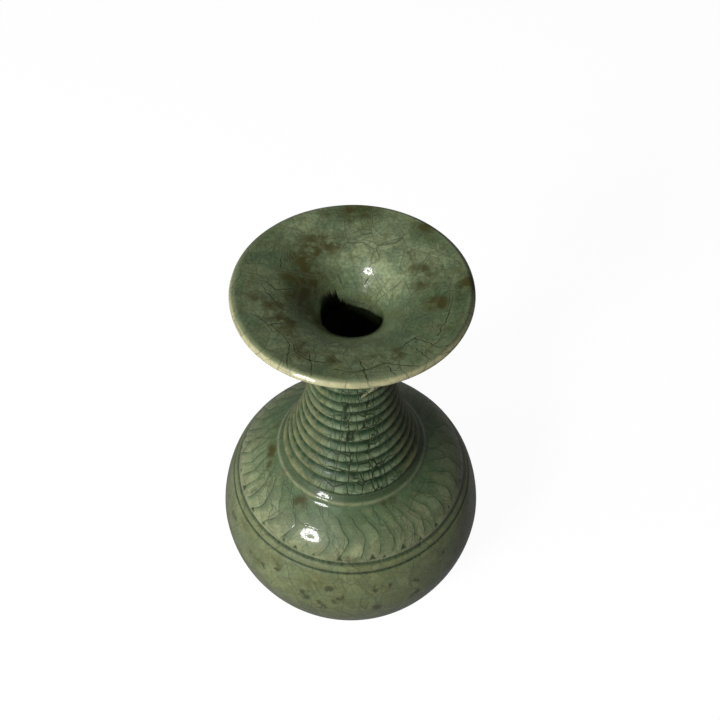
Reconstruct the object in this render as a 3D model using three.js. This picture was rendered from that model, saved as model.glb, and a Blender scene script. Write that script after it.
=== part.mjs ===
// A crackle-glazed celadon bottle vase: a round belly on a foot ring, a ribbed neck and a wide trumpet mouth.
// It is thrown in five sections. Each rim has a groove that takes the next section's tongue, over a bed of slip.
// Millimetres, +Z up. The origin is the middle of the foot, on the surface that the vase stands on.

import * as THREE from 'three';

// Sides of every round section
const SIDES = 40;

// Foot ring
const FOOT_RADIUS = 36.8;
const FOOT_HEIGHT = 7;
const FOOT_WALL = 7;
const FOOT_BEVEL = 1;

// Belly
const BELLY_RADIUS = 61.8;
const BELLY_HEIGHT = 55.6;
const BODY_WALL = 5;
const FLOOR_THICKNESS = 6;
const FLOOR_FILLET = 3;

// Shoulder, which turns at its edge and runs up to the collar
const EDGE_RADIUS = 53.6;
const EDGE_HEIGHT = 83.4;
const UPPER_BELLY_REACH = 3.3;
const BELOW_EDGE_REACH = 12;
const BELOW_EDGE_LEAN = 59;
const ABOVE_EDGE_REACH = 6;
const ABOVE_EDGE_LEAN = 53;
const BELOW_COLLAR_REACH = 9.5;
const BELOW_COLLAR_LEAN = 33;

// Two lines cut round the shoulder, the wide one at its edge
const LINE_SPACING = 3.8;
const WIDE_LINE = { height: EDGE_HEIGHT, width: 2.5, depth: 0.8 };
const NARROW_LINE = { height: EDGE_HEIGHT - LINE_SPACING, width: 1.3, depth: 0.6 };
const LINE_FLOOR_SHARE = 1 / 3;
const LINE_MARGIN = 0.4;

// Collar: a rounded ridge, and the plain band that leans from it up to the neck's root
const COLLAR_RADIUS = 33.2;
const COLLAR_HEIGHT = 101.3;
const COLLAR_WIDTH = 1.6;
const COLLAR_RISE = 1.2;
const BAND_LEAN = 39;
const BAND_REACH = 1.5;

// Neck, which stands up from the collar and is narrowest at its waist, well below the mouth
const NECK_ROOT_RADIUS = 30.4;
const NECK_ROOT_RISE = 2.6;
const WAIST_RADIUS = 16.4;
const WAIST_DROP = 40.5;
const NECK_WALL = 4.75;

// Round ribs that share out the neck from its root to its top and get shallower as they rise
const RIB_COUNT = 14;
const LOWEST_RIB_DEPTH = 1.2;
const HIGHEST_RIB_DEPTH = 0.7;

// Trumpet mouth, from the vase's full height down to the top of the neck
const MOUTH_RADIUS = 45.2;
const MOUTH_HEIGHT = 203;
const MOUTH_DEPTH = 24.08;
const LIP_THICKNESS = 3.9;
const LIP_ROUNDING = 1.5;
const FLANGE_LEAN = 9;
const FLANGE_REACH = 18;
const FUNNEL_RADIUS = 14.85;
const FUNNEL_DROP = 11.2;
const FUNNEL_LEAN = 50;
const FUNNEL_REACH = 10;
const THROAT_DROP = 21;
const THROAT_REACH = 5;
const UNDERSIDE_RISE = 11;
const UNDERSIDE_REACH = 17;

// Luted seams: a tongue in a groove, over a bed of slip
const TONGUE_WIDTH = 1.8;
const GROOVE_DEPTH = 2.4;
const SLIP_THICKNESS = 0.8;
const SEAM_CLEARANCE = 0.3;

// Straight steps on each stretch of an outline
const CORNER_STEPS = 2;
const RIB_STEPS = 4;
const CURVE_STEPS = 5;
const LONG_CURVE_STEPS = 8;
const FINE_STEPS = 32;

// Glazed stoneware, its bare foot and the slip in its seams
const GLAZE = { color: 0x7c8f70, roughness: 0.22, metalness: 0 };
const BARE_CLAY = { color: 0x8a6a4c, roughness: 0.85, metalness: 0 };
const SLIP = { color: 0xb9ab90, roughness: 0.9, metalness: 0 };

const BODY_FLOOR = FOOT_HEIGHT + FLOOR_THICKNESS;
const NECK_ROOT_HEIGHT = COLLAR_HEIGHT + NECK_ROOT_RISE;
const NECK_TOP = MOUTH_HEIGHT - MOUTH_DEPTH;
const RIB_PITCH = (NECK_TOP - NECK_ROOT_HEIGHT) / RIB_COUNT;
const WAIST_HEIGHT = MOUTH_HEIGHT - WAIST_DROP;
const WAIST_BORE = WAIST_RADIUS - NECK_WALL;

const point = (radius, height) => new THREE.Vector2(radius, height);

// A step of the given length along a line that leans from the horizontal, going in and up
function leaning(from, degrees, length) {
  const angle = THREE.MathUtils.degToRad(degrees);
  return point(from.x - length * Math.cos(angle), from.y + length * Math.sin(angle));
}

const COLLAR_FOOT = point(COLLAR_RADIUS + COLLAR_WIDTH / 2, COLLAR_HEIGHT - COLLAR_RISE);
const COLLAR_BROW = leaning(point(COLLAR_RADIUS, COLLAR_HEIGHT), BAND_LEAN, COLLAR_WIDTH / 2);

// The quarter ellipse from the foot to the belly
function lowerBodyRadius(height) {
  const end = FOOT_RADIUS / BELLY_RADIUS;
  const fall = (BELLY_HEIGHT - FOOT_HEIGHT) / Math.sqrt(1 - end * end);
  const drop = (BELLY_HEIGHT - height) / fall;
  return BELLY_RADIUS * Math.sqrt(1 - drop * drop);
}

const UPPER_BELLY = new THREE.CubicBezierCurve(
  point(BELLY_RADIUS, BELLY_HEIGHT),
  point(BELLY_RADIUS, BELLY_HEIGHT + UPPER_BELLY_REACH),
  leaning(point(EDGE_RADIUS, EDGE_HEIGHT), BELOW_EDGE_LEAN, -BELOW_EDGE_REACH),
  point(EDGE_RADIUS, EDGE_HEIGHT)
);

const SHOULDER_SLOPE = new THREE.CubicBezierCurve(
  point(EDGE_RADIUS, EDGE_HEIGHT),
  leaning(point(EDGE_RADIUS, EDGE_HEIGHT), ABOVE_EDGE_LEAN, ABOVE_EDGE_REACH),
  leaning(COLLAR_FOOT, BELOW_COLLAR_LEAN, -BELOW_COLLAR_REACH),
  COLLAR_FOOT
);

// The bottom of the grooves between the neck's ribs
function neckRadius(height) {
  const rise = (WAIST_HEIGHT - height) / (WAIST_HEIGHT - NECK_ROOT_HEIGHT);
  return WAIST_RADIUS + (NECK_ROOT_RADIUS - WAIST_RADIUS) * rise * rise;
}

// The radius of a rising outline at one height
function radiusOn(outline, height) {
  const above = outline.findIndex((place) => place.y >= height);
  if (above <= 0) return outline.at(above).x;
  const low = outline[above - 1];
  const high = outline[above];
  return THREE.MathUtils.mapLinear(height, low.y, high.y, low.x, high.x);
}

function spaced(low, high, steps) {
  return Array.from({ length: steps + 1 }, (_, i) => low + ((high - low) * i) / steps);
}

// The outside from foot to mouth without its lines, collar and ribs
function plainOutline() {
  const lower = spaced(FOOT_HEIGHT, BELLY_HEIGHT, FINE_STEPS)
    .map((height) => point(lowerBodyRadius(height), height));
  const neck = spaced(NECK_ROOT_HEIGHT, NECK_TOP, FINE_STEPS)
    .map((height) => point(neckRadius(height), height));
  return [
    ...lower,
    ...UPPER_BELLY.getPoints(FINE_STEPS).slice(1),
    ...SHOULDER_SLOPE.getPoints(FINE_STEPS).slice(1),
    ...neck,
  ];
}

const OUTSIDE = plainOutline();

// The inside at one height: the wall's thickness in from the outside, square to its mean lean there
function insideRadius(height, wall) {
  const high = Math.min(height + wall, NECK_TOP);
  const low = Math.max(height - wall, FOOT_HEIGHT);
  const lean = (radiusOn(OUTSIDE, high) - radiusOn(OUTSIDE, low)) / (high - low);
  return radiusOn(OUTSIDE, height) - wall * Math.hypot(1, lean);
}

// The neck's bore narrows to the waist and stays that wide up to the mouth
function boreRadius(height) {
  return height < WAIST_HEIGHT ? Math.max(WAIST_BORE, insideRadius(height, NECK_WALL)) : WAIST_BORE;
}

function insideWall(low, high, steps, radiusAt) {
  return spaced(high, low, steps).map((height) => point(radiusAt(height), height));
}

// Where two sections meet: both rims reach from the bore to the outside
function seam(height, inside, outside) {
  return { height, inside, outside, middle: (inside + outside) / 2 };
}

const FOOT_SEAM = seam(FOOT_HEIGHT, FOOT_RADIUS - FOOT_WALL, FOOT_RADIUS);
const BELLY_SEAM = seam(BELLY_HEIGHT, insideRadius(BELLY_HEIGHT, BODY_WALL), BELLY_RADIUS);
const NECK_SEAM = seam(NECK_ROOT_HEIGHT, boreRadius(NECK_ROOT_HEIGHT), NECK_ROOT_RADIUS);
const MOUTH_SEAM = seam(NECK_TOP, WAIST_BORE, neckRadius(NECK_TOP));

// The lower section's rim with its groove, from the outside in
function groovedRim({ height, inside, outside, middle }) {
  const half = TONGUE_WIDTH / 2 + SEAM_CLEARANCE;
  return [
    point(outside, height),
    point(middle + half, height),
    point(middle + half, height - GROOVE_DEPTH),
    point(middle - half, height - GROOVE_DEPTH),
    point(middle - half, height),
    point(inside, height),
  ];
}

// The upper section's tongue, from the bore out
function tongue({ height, middle }) {
  const half = TONGUE_WIDTH / 2;
  const tip = height - GROOVE_DEPTH + SLIP_THICKNESS;
  return [
    point(middle - half, height),
    point(middle - half, tip),
    point(middle + half, tip),
    point(middle + half, height),
  ];
}

function tonguedRim(place) {
  return [point(place.inside, place.height), ...tongue(place), point(place.outside, place.height)];
}

// A solid of revolution about +Z. Its outline runs up the outside and down the inside.
function turned(name, outline, finish) {
  const geometry = new THREE.LatheGeometry(outline, SIDES);
  geometry.rotateX(Math.PI / 2);
  const mesh = new THREE.Mesh(geometry, new THREE.MeshStandardMaterial(finish));
  mesh.name = name;
  return mesh;
}

function closed(outline) {
  return [...outline, outline[0].clone()];
}

function footRing() {
  const inner = FOOT_RADIUS - FOOT_WALL;
  return turned('foot_ring', closed([
    point(inner + FOOT_BEVEL, 0),
    point(FOOT_RADIUS - FOOT_BEVEL, 0),
    point(FOOT_RADIUS, FOOT_BEVEL),
    ...groovedRim(FOOT_SEAM),
    point(inner, FOOT_BEVEL),
  ]), BARE_CLAY);
}

function lowerBody() {
  const wall = (height) => insideRadius(height, BODY_WALL);
  const inside = insideWall(BODY_FLOOR + FLOOR_FILLET, BELLY_HEIGHT, LONG_CURVE_STEPS - 1, wall);
  const outside = spaced(FOOT_HEIGHT, BELLY_HEIGHT, LONG_CURVE_STEPS)
    .map((height) => point(lowerBodyRadius(height), height));
  return turned('lower_body', [
    point(0, FOOT_HEIGHT),
    ...tongue(FOOT_SEAM),
    ...outside.slice(0, -1),
    ...groovedRim(BELLY_SEAM),
    ...inside.slice(1),
    point(wall(BODY_FLOOR + FLOOR_FILLET) - FLOOR_FILLET, BODY_FLOOR),
    point(0, BODY_FLOOR),
  ], GLAZE);
}

// A line cut into the outside, from its lower edge to its upper one
function cutLine({ height, width, depth }) {
  const half = width / 2;
  const floor = half * LINE_FLOOR_SHARE;
  const at = (rise, sink) => point(radiusOn(OUTSIDE, height + rise) - sink, height + rise);
  return [at(-half, 0), at(-floor, depth), at(floor, depth), at(half, 0)];
}

// The ridge that stands round the neck's root, and the band between it and the lowest rib
function collar() {
  const ridge = new THREE.QuadraticBezierCurve(
    COLLAR_FOOT,
    point(COLLAR_RADIUS + COLLAR_WIDTH / 4, COLLAR_HEIGHT),
    COLLAR_BROW
  );
  const band = new THREE.QuadraticBezierCurve(
    COLLAR_BROW,
    leaning(COLLAR_BROW, BAND_LEAN, BAND_REACH),
    point(NECK_ROOT_RADIUS, NECK_ROOT_HEIGHT)
  );
  return [...ridge.getPoints(RIB_STEPS), ...band.getPoints(CORNER_STEPS + 1).slice(1, -1)];
}

function shoulder() {
  const wall = (height) => insideRadius(height, BODY_WALL);
  const clear = (place) => [WIDE_LINE, NARROW_LINE]
    .every((line) => Math.abs(place.y - line.height) > line.width / 2 + LINE_MARGIN);
  const slope = [
    ...UPPER_BELLY.getPoints(LONG_CURVE_STEPS).slice(1),
    ...SHOULDER_SLOPE.getPoints(LONG_CURVE_STEPS).slice(1, -1),
  ].filter(clear);
  const outside = [...slope, ...cutLine(NARROW_LINE), ...cutLine(WIDE_LINE)]
    .sort((a, b) => a.y - b.y);
  const inside = insideWall(BELLY_HEIGHT, NECK_ROOT_HEIGHT, LONG_CURVE_STEPS, wall).slice(1, -1);
  return turned('shoulder', closed([
    ...tonguedRim(BELLY_SEAM),
    ...outside,
    ...collar(),
    ...groovedRim(NECK_SEAM),
    ...inside,
  ]), GLAZE);
}

// One rib, from the groove below it up to just under the groove above
function rib(index) {
  const foot = NECK_ROOT_HEIGHT + index * RIB_PITCH;
  const depth = THREE.MathUtils.lerp(LOWEST_RIB_DEPTH, HIGHEST_RIB_DEPTH, index / RIB_COUNT);
  return spaced(0, 1, RIB_STEPS).slice(0, -1).map((share) => {
    const height = foot + share * RIB_PITCH;
    return point(neckRadius(height) + depth * Math.sin(Math.PI * share), height);
  });
}

function neck() {
  const ribs = Array.from({ length: RIB_COUNT }, (_, index) => rib(index)).flat();
  const inside = insideWall(NECK_ROOT_HEIGHT, NECK_TOP, LONG_CURVE_STEPS, boreRadius).slice(1, -1);
  return turned('neck', closed([
    ...tonguedRim(NECK_SEAM),
    ...ribs.slice(1),
    ...groovedRim(MOUTH_SEAM),
    ...inside,
  ]), GLAZE);
}

function arc(centre, radius, fromDegrees, toDegrees) {
  return spaced(fromDegrees, toDegrees, CORNER_STEPS)
    .map((degrees) => leaning(centre, 180 - degrees, radius));
}

// The lip's rounded edge, from its underside round to its top
function lip() {
  const middle = MOUTH_RADIUS - LIP_ROUNDING;
  const low = MOUTH_HEIGHT - LIP_THICKNESS + LIP_ROUNDING;
  return [
    ...arc(point(middle, low), LIP_ROUNDING, -90, 0),
    ...arc(point(middle, MOUTH_HEIGHT - LIP_ROUNDING), LIP_ROUNDING, 0, 90),
  ];
}

function mouth() {
  const [underLip] = lip();
  const lipTop = lip().at(-1);
  const brink = point(FUNNEL_RADIUS, MOUTH_HEIGHT - FUNNEL_DROP);
  const throat = point(WAIST_BORE, MOUTH_HEIGHT - THROAT_DROP);
  const underside = new THREE.CubicBezierCurve(
    point(MOUTH_SEAM.outside, NECK_TOP),
    point(MOUTH_SEAM.outside, NECK_TOP + UNDERSIDE_RISE),
    leaning(underLip, -FLANGE_LEAN, UNDERSIDE_REACH),
    underLip
  );
  const flange = new THREE.CubicBezierCurve(
    lipTop,
    leaning(lipTop, -FLANGE_LEAN, FLANGE_REACH),
    leaning(brink, -FUNNEL_LEAN, -FUNNEL_REACH),
    brink
  );
  const funnel = new THREE.CubicBezierCurve(
    brink,
    leaning(brink, -FUNNEL_LEAN, THROAT_REACH),
    point(throat.x, throat.y + THROAT_REACH),
    throat
  );
  return turned('mouth', closed([
    ...tonguedRim(MOUTH_SEAM),
    ...underside.getPoints(LONG_CURVE_STEPS).slice(1, -1),
    ...lip(),
    ...flange.getPoints(LONG_CURVE_STEPS).slice(1),
    ...funnel.getPoints(CURVE_STEPS).slice(1),
  ]), GLAZE);
}

// The bed of slip between a groove's floor and the tongue's tip
function slipBed(name, { height, middle }) {
  const floor = height - GROOVE_DEPTH;
  const half = TONGUE_WIDTH / 2;
  return turned(name, closed([
    point(middle - half, floor),
    point(middle + half, floor),
    point(middle + half, floor + SLIP_THICKNESS),
    point(middle - half, floor + SLIP_THICKNESS),
  ]), SLIP);
}

const vase = new THREE.Group();
vase.add(
  footRing(),
  slipBed('foot_luting', FOOT_SEAM),
  lowerBody(),
  slipBed('belly_luting', BELLY_SEAM),
  shoulder(),
  slipBed('neck_luting', NECK_SEAM),
  neck(),
  slipBed('mouth_luting', MOUTH_SEAM),
  mouth()
);

export default vase;
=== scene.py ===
"""A crackle-glazed celadon bottle vase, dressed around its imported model.

Sizes are in millimetres and angles in degrees, until a mesh, lamp or shader takes them.
Azimuth runs anticlockwise from +X, seen from above. The camera stands on the side of -Y.
"""

import functools
import math

import bpy
import numpy as np
from mathutils import Matrix, Vector, kdtree


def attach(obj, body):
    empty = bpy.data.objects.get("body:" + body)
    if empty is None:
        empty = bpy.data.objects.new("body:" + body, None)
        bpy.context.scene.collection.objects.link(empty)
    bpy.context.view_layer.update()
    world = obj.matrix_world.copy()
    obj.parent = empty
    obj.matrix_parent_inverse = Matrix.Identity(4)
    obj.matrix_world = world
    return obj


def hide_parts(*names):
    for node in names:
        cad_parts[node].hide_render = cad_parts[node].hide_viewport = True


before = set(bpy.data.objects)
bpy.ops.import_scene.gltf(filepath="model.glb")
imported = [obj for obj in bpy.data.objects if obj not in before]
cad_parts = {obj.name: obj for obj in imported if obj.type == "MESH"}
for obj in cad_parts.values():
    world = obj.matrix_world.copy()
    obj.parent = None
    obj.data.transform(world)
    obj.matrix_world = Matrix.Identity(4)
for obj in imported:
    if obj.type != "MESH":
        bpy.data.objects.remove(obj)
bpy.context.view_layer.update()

MM = 0.001
# Degrees in a radian
RADIAN = 57.3

# The vase's driving sizes, as its solids have them
FOOT_RADIUS, FOOT_HEIGHT, FOOT_WALL, FOOT_BEVEL = 36.8, 7.0, 7.0, 1.0
BELLY_RADIUS, BELLY_HEIGHT = 61.8, 55.6
BODY_WALL, FLOOR_THICKNESS, FLOOR_FILLET = 5.0, 6.0, 3.0
EDGE_RADIUS, EDGE_HEIGHT = 53.6, 83.4
UPPER_BELLY_REACH = 3.3
BELOW_EDGE_REACH, BELOW_EDGE_LEAN = 12.0, 59.0
# The shoulder bends most a little above the edge, and hollows a little before the collar
SLOPE_LENGTH, SLOPE_LEAN, SLOPE_BEND, BEND_PLACE, BEND_WIDTH = 26.0, 34.0, 18.0, 7.4, 2.0
SLOPE_HOLLOW, HOLLOW_PLACE, HOLLOW_WIDTH, SLOPE_EASE = 14.0, 24.7, 0.3, 0.25
LINE_SPACING, LINE_SHARPNESS = 3.8, 3.2
# Where the cut lines are painted dark, in half widths with ramps: thick glaze in both, and on the wide
# line's upper half painted shade under its upper wall as well
WIDE_DARK, NARROW_DARK = (-0.9, 0.9, 0.75, 0.25), (-1.1, 0.5, 1.1, 0.5)
WIDE_LINE = {"height": EDGE_HEIGHT, "width": 2.5, "depth": 0.8}
NARROW_LINE = {"height": EDGE_HEIGHT - LINE_SPACING, "width": 1.3, "depth": 0.6}
COLLAR_RADIUS, COLLAR_HEIGHT, COLLAR_WIDTH, COLLAR_RISE = 33.2, 101.3, 1.6, 1.2
BAND_LEAN, BAND_REACH = 39.0, 1.5
NECK_ROOT_RADIUS, NECK_ROOT_RISE = 30.4, 2.6
WAIST_RADIUS, WAIST_DROP, NECK_WALL = 16.4, 40.5, 4.75
LOWEST_RIB_DEPTH, HIGHEST_RIB_DEPTH = 1.2, 0.7
MOUTH_RADIUS, MOUTH_HEIGHT, MOUTH_DEPTH = 45.2, 203.0, 24.08
LIP_EDGE, LIP_BEVEL, LIP_ROLL = 0.8, 10.0, 1.5
BEVEL_LOW, BEVEL_HIGH = 40.0, 49.5
FLANGE_LEAN, FLANGE_REACH = 9.0, 15.0
FUNNEL_RADIUS, FUNNEL_DROP, FUNNEL_LEAN, FUNNEL_REACH = 14.85, 11.2, 50.0, 10.0
THROAT_DROP, THROAT_REACH = 21.0, 5.0
UNDERSIDE_RISE, UNDERSIDE_REACH = 11.0, 17.0
TONGUE_WIDTH, GROOVE_DEPTH, SLIP_THICKNESS, SEAM_CLEARANCE = 1.8, 2.4, 0.8, 0.3

BODY_FLOOR = FOOT_HEIGHT + FLOOR_THICKNESS
NECK_ROOT_HEIGHT = COLLAR_HEIGHT + NECK_ROOT_RISE
NECK_TOP = MOUTH_HEIGHT - MOUTH_DEPTH
WAIST_HEIGHT = MOUTH_HEIGHT - WAIST_DROP
WAIST_BORE = WAIST_RADIUS - NECK_WALL

# The grooves between the neck's ribs, which the potter's finger left a little uneven
RIB_GROOVES = [NECK_ROOT_HEIGHT, 110.0, 114.9, 119.9, 125.1, 130.3, 136.2, 141.6]
RIB_GROOVES += [147.2, 152.4, 158.0, 163.3, 168.6, 173.8, NECK_TOP]
RIB_COUNT = len(RIB_GROOVES) - 1
# Glaze fills the bottoms of these grooves to a round, and the ribs' crests lie a little low
RIB_SOFTNESS, RIB_SKEW, RIB_SHARPNESS = 0.16, 0.8, 1.5
# The stretch of a rib that is painted pale, with its ramps: partly its glaze's pale crest, partly painted
# light on the rib's upper side, which faces the lamp
PALE_AND_LIT_SPAN = (0.14, 0.12, 0.88, 0.45)

# Finish of the meshes: the gap between rows where the glaze shows, on the rest and in the seams
FINE, MIDDLE, COARSE, SEAM_STEP = 0.42, 0.6, 2.4, 1.2
UNDERSIDE_STEP, THROAT_STEP, SLOPE_STEP, COLLAR_STEP = 0.75, 0.8, 0.52, 0.3
DENSE = 400


# Outlines, as arrays of (radius, height)
def leaning(start, degrees, length):
    """A step that leans from the horizontal, going in and up."""
    angle = math.radians(degrees)
    return (start[0] - length * math.cos(angle), start[1] + length * math.sin(angle))


def bezier(*controls):
    t = np.linspace(0, 1, DENSE)[:, None]
    layers = [np.asarray(c, float) + 0 * t for c in controls]
    while len(layers) > 1:
        layers = [a * (1 - t) + b * t for a, b in zip(layers, layers[1:])]
    return layers[0]


def arc(centre, radius, start, end):
    angles = np.radians(np.linspace(start, end, DENSE // 8))
    return np.array(centre) + radius * np.stack([np.cos(angles), np.sin(angles)], 1)


def joined(*parts):
    return np.vstack([parts[0]] + [part[1:] for part in parts[1:]])


def evenly(points, gap):
    """The same line with its points one gap apart."""
    points = np.asarray(points, float)
    along = np.append(0, np.cumsum(np.hypot(*np.diff(points, axis=0).T)))
    places = np.linspace(0, along[-1], max(1, round(along[-1] / gap)) + 1)
    return np.stack([np.interp(places, along, column) for column in points.T], 1)


def rise(value, start, run):
    """0 up to the start, and 1 from one run past it. A run below 0 goes the other way."""
    return np.clip((value - start) / run, 0, 1)


def between(value, start, run_in, end, run_out):
    """1 between two places and 0 outside them, with a ramp inside each."""
    return rise(value, start, run_in) * rise(value, end, -run_out)


def facing(azimuth, place, near, far):
    """The near value at this place round the vase, the far one opposite, and a cosine between."""
    return (near + far) / 2 + (near - far) / 2 * np.cos(azimuth - math.radians(place))


def degrees_past(azimuth, place=0.0):
    """How many degrees an azimuth lies past a place, from -180 to 180."""
    return (np.degrees(azimuth) - place + 180) % 360 - 180


def bell(value, width, power=2):
    return np.exp(-((value / width) ** power))


def lower_body_radius(height):
    end = FOOT_RADIUS / BELLY_RADIUS
    fall = (BELLY_HEIGHT - FOOT_HEIGHT) / math.sqrt(1 - end * end)
    return BELLY_RADIUS * np.sqrt(1 - ((BELLY_HEIGHT - height) / fall) ** 2)


def neck_radius(height):
    below = (WAIST_HEIGHT - height) / (WAIST_HEIGHT - NECK_ROOT_HEIGHT)
    return WAIST_RADIUS + (NECK_ROOT_RADIUS - WAIST_RADIUS) * below**2


EDGE = (EDGE_RADIUS, EDGE_HEIGHT)
COLLAR_FOOT = (COLLAR_RADIUS + COLLAR_WIDTH / 2, COLLAR_HEIGHT - COLLAR_RISE)
COLLAR_BROW = leaning((COLLAR_RADIUS, COLLAR_HEIGHT), BAND_LEAN, COLLAR_WIDTH / 2)

LOWER_OUTSIDE = np.array(
    [(lower_body_radius(z), z) for z in np.linspace(FOOT_HEIGHT, BELLY_HEIGHT, DENSE)]
)
UPPER_BELLY = bezier(
    (BELLY_RADIUS, BELLY_HEIGHT),
    (BELLY_RADIUS, BELLY_HEIGHT + UPPER_BELLY_REACH),
    leaning(EDGE, BELOW_EDGE_LEAN, -BELOW_EDGE_REACH),
    EDGE,
)


def shoulder_slope():
    """From the edge to the collar, turned and scaled a little so that both ends meet."""
    along = np.linspace(0, SLOPE_LENGTH, DENSE)
    bend = SLOPE_BEND / (1 + np.exp((along - BEND_PLACE) / BEND_WIDTH))
    hollow = SLOPE_HOLLOW / (1 + np.exp((HOLLOW_PLACE - along) / HOLLOW_WIDTH))
    lean = np.radians(SLOPE_LEAN + bend + hollow - SLOPE_EASE * (along - SLOPE_LENGTH / 2))
    path = np.append(0, np.cumsum(np.exp(1j * (math.pi - lean[:-1]))))
    path *= complex(COLLAR_FOOT[0] - EDGE[0], COLLAR_FOOT[1] - EDGE[1]) / path[-1]
    return np.stack([EDGE[0] + path.real, EDGE[1] + path.imag], 1)


SHOULDER_SLOPE = shoulder_slope()
COLLAR_RIDGE = bezier(COLLAR_FOOT, (COLLAR_RADIUS + COLLAR_WIDTH / 4, COLLAR_HEIGHT), COLLAR_BROW)
COLLAR_BAND = bezier(
    COLLAR_BROW,
    leaning(COLLAR_BROW, BAND_LEAN, BAND_REACH),
    (NECK_ROOT_RADIUS, NECK_ROOT_HEIGHT),
)
NECK_GROOVES = np.array(
    [(neck_radius(z), z) for z in np.linspace(NECK_ROOT_HEIGHT, NECK_TOP, DENSE)]
)
PLAIN_OUTSIDE = joined(LOWER_OUTSIDE, UPPER_BELLY, SHOULDER_SLOPE, NECK_GROOVES)


def outside_radius(height):
    return np.interp(height, PLAIN_OUTSIDE[:, 1], PLAIN_OUTSIDE[:, 0])


def inside_radius(height, wall):
    high = np.minimum(height + wall, NECK_TOP)
    low = np.maximum(height - wall, FOOT_HEIGHT)
    lean = (outside_radius(high) - outside_radius(low)) / (high - low)
    return outside_radius(height) - wall * np.hypot(1, lean)


def bore_radius(height):
    narrowing = np.maximum(WAIST_BORE, inside_radius(height, NECK_WALL))
    return np.where(height < WAIST_HEIGHT, narrowing, WAIST_BORE)


def inside_wall(high, low, radius_at):
    heights = np.linspace(high, low, DENSE // 4)
    return np.stack([radius_at(heights), heights], 1)


def seam(height, inside, outside):
    return {"height": height, "inside": inside, "outside": outside, "middle": (inside + outside) / 2}


FOOT_SEAM = seam(FOOT_HEIGHT, FOOT_RADIUS - FOOT_WALL, FOOT_RADIUS)
BELLY_SEAM = seam(BELLY_HEIGHT, float(inside_radius(BELLY_HEIGHT, BODY_WALL)), BELLY_RADIUS)
NECK_SEAM = seam(NECK_ROOT_HEIGHT, float(bore_radius(NECK_ROOT_HEIGHT)), NECK_ROOT_RADIUS)
MOUTH_SEAM = seam(NECK_TOP, WAIST_BORE, float(neck_radius(NECK_TOP)))


def straight(*corners):
    """Straight runs between corners, each a run of its own so that its ends stay sharp."""
    return [evenly(pair, SEAM_STEP) for pair in zip(corners, corners[1:])]


def stepped_rim(place, start, end, half, depth):
    """A rim that steps down to a groove's floor or a tongue's tip, and up again."""
    top, low, middle = place["height"], place["height"] - depth, place["middle"]
    return straight(
        (place[start], top),
        (middle + half, top),
        (middle + half, low),
        (middle - half, low),
        (middle - half, top),
        (place[end], top),
    )


def grooved_rim(place):
    """The lower section's rim with its groove, from the outside in."""
    return stepped_rim(place, "outside", "inside", TONGUE_WIDTH / 2 + SEAM_CLEARANCE, GROOVE_DEPTH)


def tongued_rim(place):
    """The upper section's rim with its tongue, from the bore out."""
    return stepped_rim(place, "inside", "outside", -TONGUE_WIDTH / 2, GROOVE_DEPTH - SLIP_THICKNESS)


def off_line(line, height):
    """How far a height lies from a cut line's middle, in half widths of the line."""
    return 2 * (height - line["height"]) / line["width"]


def cut_lines(points):
    """Sinks the two lines into an outline, each with soft shoulders and a round floor."""
    radius, height = points.T.copy()
    for line in (WIDE_LINE, NARROW_LINE):
        radius -= line["depth"] / (1 + np.abs(off_line(line, height)) ** LINE_SHARPNESS)
    return np.stack([radius, height], 1)


def ribbed():
    """The neck's outside: round ribs that get shallower as they rise."""
    heights = np.linspace(NECK_ROOT_HEIGHT, NECK_TOP, DENSE * 4)
    turn = rib_turn(heights)
    depth = LOWEST_RIB_DEPTH + (HIGHEST_RIB_DEPTH - LOWEST_RIB_DEPTH) * turn / RIB_COUNT
    full = math.hypot(1, RIB_SOFTNESS) - RIB_SOFTNESS
    share = np.clip(turn - np.floor(turn), 0, 1) ** RIB_SKEW
    bulge = ((np.hypot(np.sin(np.pi * share), RIB_SOFTNESS) - RIB_SOFTNESS) / full) ** RIB_SHARPNESS
    return np.stack([neck_radius(heights) + depth * bulge, heights], 1)


def rib_turn(heights):
    """Which rib a height is on, and its share of the way up that rib."""
    return np.interp(heights, RIB_GROOVES, np.arange(RIB_COUNT + 1))


def lip():
    """The lip, from under its edge up: a small round edge, a bevel that is nearly flat, and a roll."""
    middle, before, runs = np.array([MOUTH_RADIUS - LIP_EDGE, 0.0]), LIP_EDGE, []
    stops = (-90, BEVEL_LOW, BEVEL_HIGH, 90 + FLANGE_LEAN)
    for radius, start, end in zip((LIP_EDGE, LIP_BEVEL, LIP_ROLL), stops, stops[1:]):
        angle = math.radians(start)
        middle = middle + (before - radius) * np.array([math.cos(angle), math.sin(angle)])
        runs.append(arc(middle, radius, start, end))
        before = radius
    line = joined(*runs)
    line[:, 1] += MOUTH_HEIGHT - line[:, 1].max()
    return line


LIP = lip()
UNDER_LIP, LIP_TOP = tuple(LIP[0]), tuple(LIP[-1])
BRINK = (FUNNEL_RADIUS, MOUTH_HEIGHT - FUNNEL_DROP)
THROAT = (WAIST_BORE, MOUTH_HEIGHT - THROAT_DROP)
UNDERSIDE = bezier(
    (MOUTH_SEAM["outside"], NECK_TOP),
    (MOUTH_SEAM["outside"], NECK_TOP + UNDERSIDE_RISE),
    leaning(UNDER_LIP, -FLANGE_LEAN, UNDERSIDE_REACH),
    UNDER_LIP,
)


def dish(lean, reach):
    """The mouth's upper side, with this lean at the funnel's brink."""
    flange = bezier(
        LIP_TOP,
        leaning(LIP_TOP, -FLANGE_LEAN, FLANGE_REACH),
        leaning(BRINK, -lean, -reach),
        BRINK,
    )
    funnel = bezier(
        BRINK,
        leaning(BRINK, -lean, THROAT_REACH),
        (THROAT[0], THROAT[1] + THROAT_REACH),
        THROAT,
    )
    return joined(flange, funnel)


DISH = dish(FUNNEL_LEAN, FUNNEL_REACH)
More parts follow.
